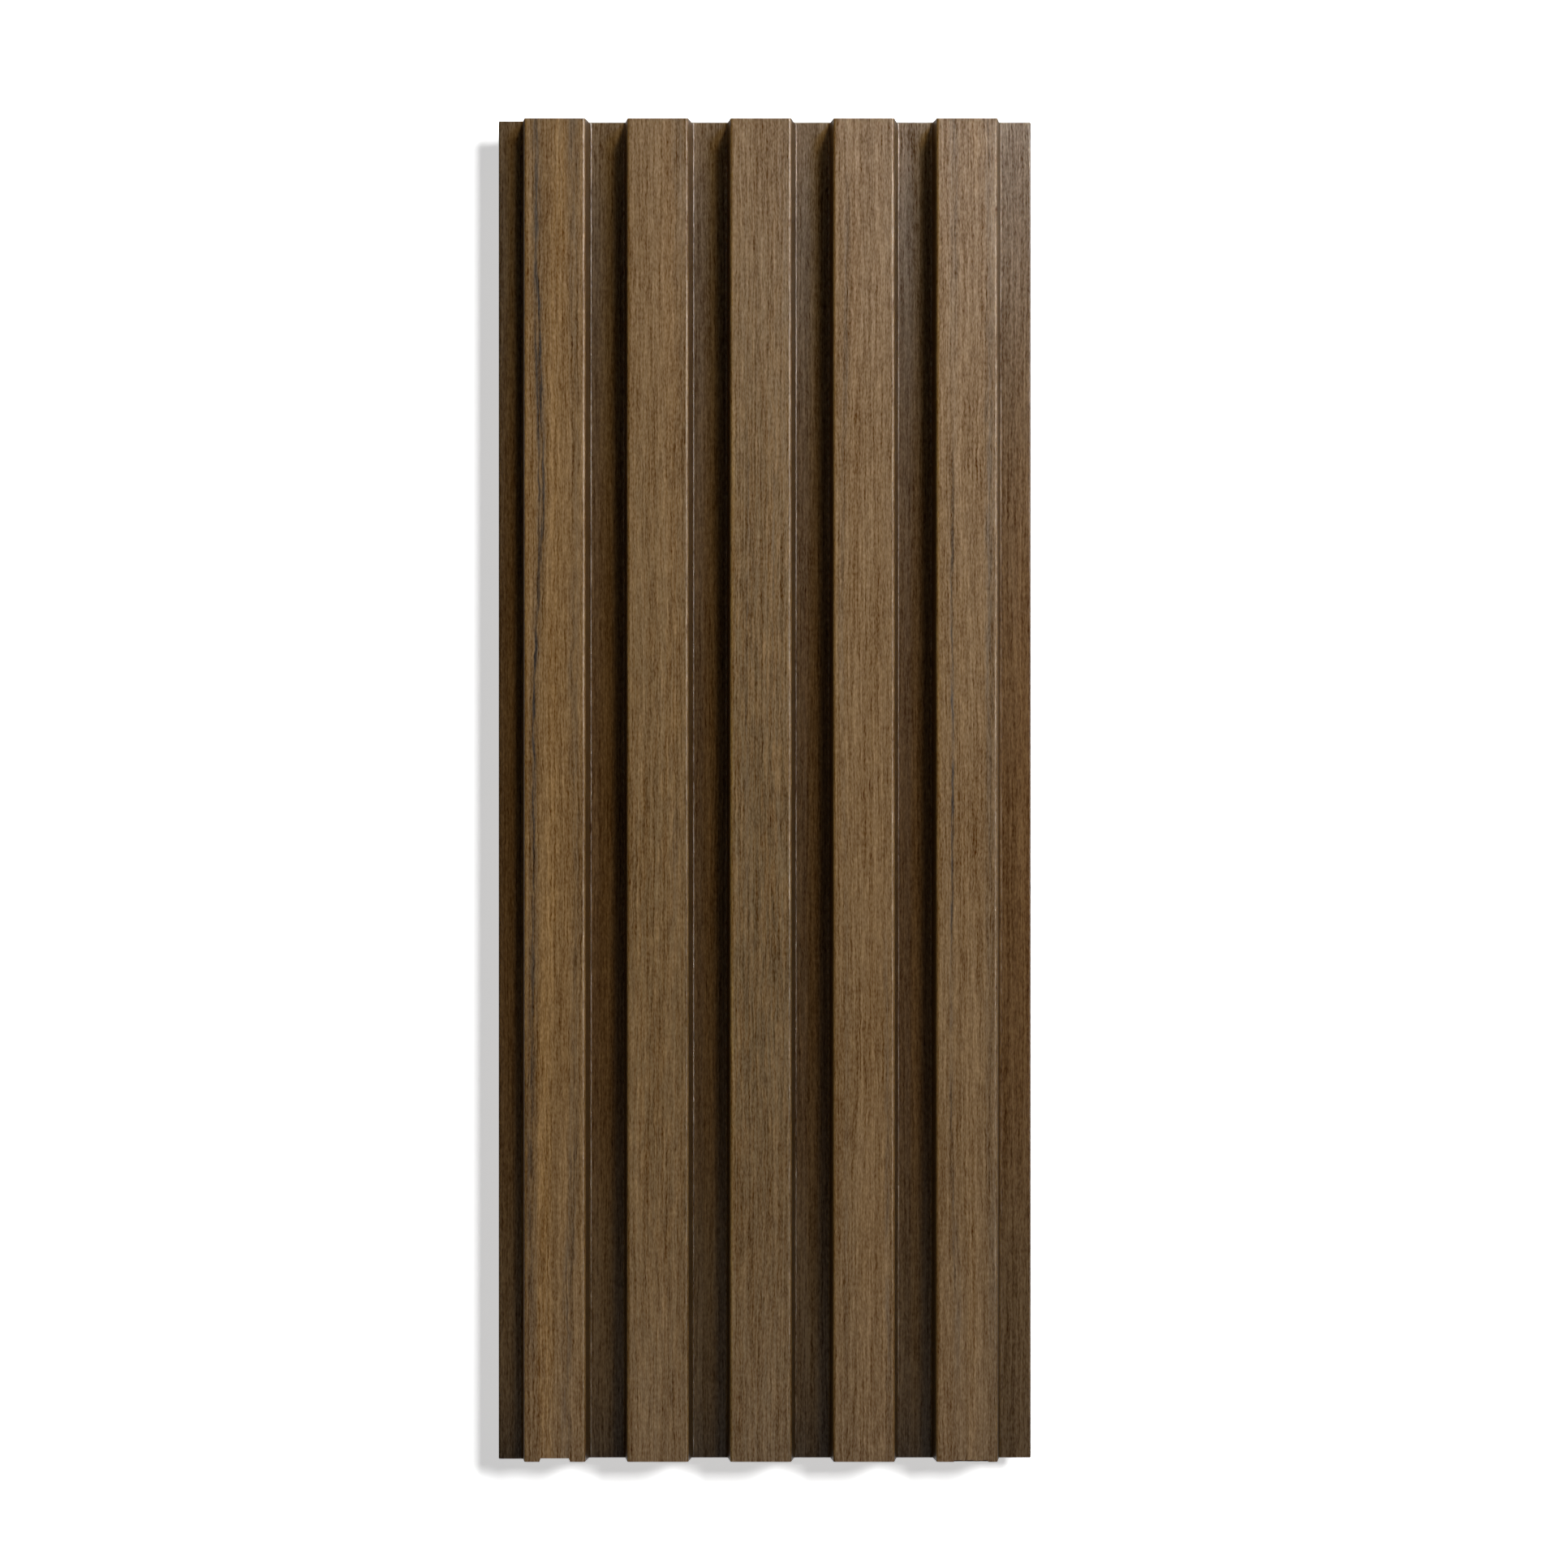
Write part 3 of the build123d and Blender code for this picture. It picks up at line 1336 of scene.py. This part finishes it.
def rib_streaks() -> tuple[Streak, ...]:
    """The long streaks of the five ribs.

    Returns:
        The streaks, in the order in which they are laid.
    """
    soot, smoke, ash = tone(32, 23, 14), tone(66, 49, 29), tone(82, 62, 36)
    amber, honey, umber = tone(130, 97, 51), tone(132, 102, 54), tone(86, 66, 35)
    return (
        # The first two streaks are wider than a rib: they darken the whole front of the second and third
        # ribs, hardly at the top and more further down.
        Streak(1, 60.0 * MM, umber, (
            (0.0, 0.5, 0.0), (0.12, 0.5, 0.05), (0.3, 0.5, 0.4), (0.5, 0.5, 0.55), (0.9, 0.5, 0.45),
            (1.0, 0.5, 0.2))),
        Streak(2, 60.0 * MM, umber, (
            (0.0, 0.5, 0.1), (0.1, 0.5, 0.35), (0.2, 0.5, 0.55), (0.4, 0.5, 0.75), (0.65, 0.5, 0.9),
            (0.8, 0.5, 0.6), (1.0, 0.5, 0.45))),
        Streak(0, 9.0 * MM, amber, (
            (0.0, 0.58, 0.8), (0.1, 0.57, 0.65), (0.2, 0.50, 0.4), (0.4, 0.50, 0.25), (0.55, 0.45, 0.4),
            (0.7, 0.36, 0.6), (0.85, 0.36, 0.8), (1.0, 0.38, 0.85))),
        Streak(0, 7.0 * MM, ash, (
            (0.0, 0.80, 0.9), (0.1, 0.82, 0.7), (0.3, 0.86, 0.5), (0.43, 0.82, 0.75), (0.57, 0.88, 0.7),
            (0.7, 0.84, 0.6), (0.8, 0.82, 0.95), (0.9, 0.72, 0.85), (1.0, 0.70, 0.35))),
        Streak(0, 6.5 * MM, smoke, (
            (0.0, 0.20, 0.6), (0.14, 0.24, 0.6), (0.28, 0.28, 0.65), (0.36, 0.24, 0.6), (0.43, 0.19, 0.55),
            (0.57, 0.15, 0.6), (0.72, 0.12, 0.75), (0.85, 0.13, 0.6), (0.95, 0.13, 0.0))),
        Streak(0, 2.0 * MM, soot, (
            (0.0, 0.20, 0.5), (0.1, 0.22, 0.85), (0.15, 0.26, 1.0), (0.29, 0.30, 0.95), (0.35, 0.25, 0.95),
            (0.43, 0.19, 1.0), (0.5, 0.17, 0.95), (0.57, 0.15, 0.75), (0.75, 0.12, 0.4), (0.9, 0.12, 0.0))),
        Streak(0, 1.4 * MM, soot, (
            (0.04, 0.17, 0.0), (0.1, 0.19, 0.6), (0.2, 0.225, 0.8), (0.26, 0.235, 0.8), (0.31, 0.24, 0.7),
            (0.36, 0.22, 0.0))),
        Streak(1, 7.5 * MM, ash, (
            (0.0, 0.82, 0.6), (0.08, 0.84, 0.45), (0.25, 0.88, 0.25), (0.4, 0.90, 0.0))),
        Streak(1, 4.0 * MM, smoke, (
            (0.5, 0.78, 0.0), (0.55, 0.78, 0.3), (0.6, 0.74, 0.0))),
        Streak(2, 2.0 * MM, honey, (
            (0.2, 0.03, 0.0), (0.3, 0.03, 0.5), (0.7, 0.03, 0.5), (0.9, 0.03, 0.2))),
        Streak(2, 1.6 * MM, smoke, (
            (0.2, 0.27, 0.0), (0.3, 0.28, 0.45), (0.42, 0.27, 0.55), (0.54, 0.28, 0.45), (0.6, 0.28, 0.0))),
        Streak(2, 1.4 * MM, smoke, (
            (0.22, 0.72, 0.0), (0.3, 0.70, 0.5), (0.36, 0.71, 0.4), (0.42, 0.72, 0.0))),
        Streak(2, 7.5 * MM, ash, (
            (0.0, 0.85, 0.15), (0.1, 0.86, 0.35), (0.2, 0.88, 0.1), (0.3, 0.88, 0.0))),
        Streak(3, 3.4 * MM, smoke, (
            (0.04, 0.20, 0.0), (0.1, 0.20, 0.5), (0.18, 0.20, 0.6), (0.24, 0.18, 0.3), (0.38, 0.15, 0.4),
            (0.46, 0.17, 0.2), (0.65, 0.20, 0.25), (0.9, 0.20, 0.2), (1.0, 0.20, 0.0))),
        Streak(3, 3.2 * MM, smoke, (
            (0.6, 0.86, 0.0), (0.68, 0.87, 0.45), (0.8, 0.89, 0.55), (0.92, 0.90, 0.5), (1.0, 0.91, 0.2))),
        Streak(4, 6.0 * MM, amber, (
            (0.0, 0.63, 0.5), (0.04, 0.62, 0.4), (0.1, 0.60, 0.1), (0.8, 0.55, 0.15), (0.9, 0.55, 0.4),
            (1.0, 0.55, 0.45))),
        Streak(4, 2.6 * MM, honey, (
            (0.0, 0.05, 0.1), (0.1, 0.04, 0.5), (0.35, 0.04, 0.6), (0.5, 0.04, 0.3), (0.7, 0.04, 0.1))),
        Streak(4, 5.5 * MM, ash, (
            (0.0, 0.86, 0.55), (0.1, 0.86, 0.5), (0.27, 0.87, 0.9), (0.36, 0.88, 0.9), (0.5, 0.87, 0.8),
            (0.65, 0.88, 0.55), (0.8, 0.90, 0.6), (0.92, 0.91, 0.35), (1.0, 0.90, 0.1))),
        Streak(4, 5.0 * MM, smoke, (
            (0.0, 0.30, 0.4), (0.12, 0.30, 0.35), (0.2, 0.28, 0.1), (0.7, 0.23, 0.1), (0.8, 0.26, 0.3),
            (0.88, 0.30, 0.5), (0.94, 0.30, 0.1))),
        Streak(4, 1.7 * MM, soot, (
            (0.22, 0.29, 0.0), (0.27, 0.285, 0.35), (0.34, 0.27, 0.75), (0.45, 0.255, 0.9),
            (0.55, 0.245, 0.9), (0.62, 0.235, 0.7), (0.72, 0.23, 0.5), (0.82, 0.25, 0.35), (0.9, 0.30, 0.0))),
    )


def board_finishes(board: FlutedBoard) -> dict[Skin, bpy.types.Material]:
    """The board's three finishes.

    Args:
        board: The board, for the places of its ribs.

    Returns:
        Material of each finish.
    """
    grain = GrainFinish(
        # Painted shade: the valley floors keep under half the brown of the rib fronts, more near the top and
        # least at the very foot; the lip keeps less still, the flange more, and the flanks less towards the
        # foot.
        body=tone(109, 81, 43), golden=tone(115, 85, 45), flange=0.64, lip=0.80,
        floor_shade=((0.0, 0.68), (0.03, 0.61), (0.09, 0.46), (0.18, 0.43), (0.70, 0.42), (0.94, 0.51),
                (0.97, 0.45), (1.0, 0.24)),
        flank=((0.0, 0.80), (0.10, 0.72), (0.50, 0.56), (1.0, 0.36)),
        streaks=rib_streaks(),
    )
    back = BackFinish(body=tone(92, 72, 52), line=tone(72, 56, 40))
    sawn = SawnFinish(body=tone(98, 74, 50), fleck=tone(140, 112, 80), binder=tone(56, 42, 30))
    return {Skin.GRAIN: grain.make(board), Skin.BACK: back.make(), Skin.SAWN: sawn.make()}


def main() -> None:
    """Builds the board, its finishes, the stage and the camera."""
    logging.basicConfig(level=logging.INFO, format="%(name)s: %(message)s")
    bpy.context.scene.view_settings.view_transform = "Standard"
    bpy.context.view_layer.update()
    low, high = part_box(NODE)

    board = FlutedBoard(low, high)
    piece = board.build()
    board.dress(board_finishes(board))
    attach(piece, "root")
    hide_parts(NODE)
    log.info("%s: %d faces", piece.name, len(piece.data.polygons))

    Studio(low, high).build(piece)
    log.info("stage and lights are in place")
    PhotoCamera().build(board.valley)
    log.info("camera is in place")


if __name__ == "__main__":
    main()
